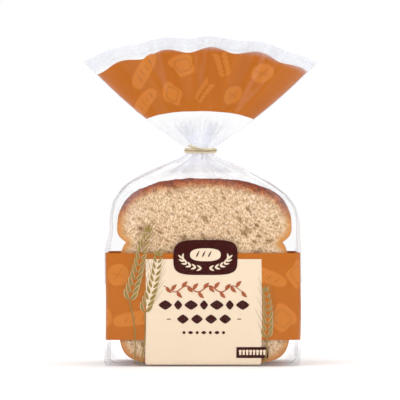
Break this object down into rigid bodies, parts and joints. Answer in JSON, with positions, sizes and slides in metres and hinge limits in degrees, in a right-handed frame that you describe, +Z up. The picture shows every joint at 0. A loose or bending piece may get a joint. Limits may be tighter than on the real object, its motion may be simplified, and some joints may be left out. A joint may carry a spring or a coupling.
{
  "type": "sliced loaf in bread bag",
  "caption": "Sliced square loaf shut in a clear film bag, gathered and closed at the neck by a twist tie below a flat fan of film.",
  "frame": {"origin": "on the plane that the bag stands on, at the middle of the whole object's box, below the middle of the neck", "axes": "+Z up from the flat base to the hem of the fan, -Y out of the printed front, +X to the right as seen from the front"},
  "size_m": [0.1584, 0.1124, 0.2225],
  "materials": {
    "film_and_bread": "clear film with orange and cream print, white bread behind it",
    "gold_ribbon": "satin pale gold ribbon over a thin wire"
  },
  "bodies": {
    "root": {"bread_bag": "film_and_bread", "twist_tie": "gold_ribbon"}
  },
  "joints": []
}
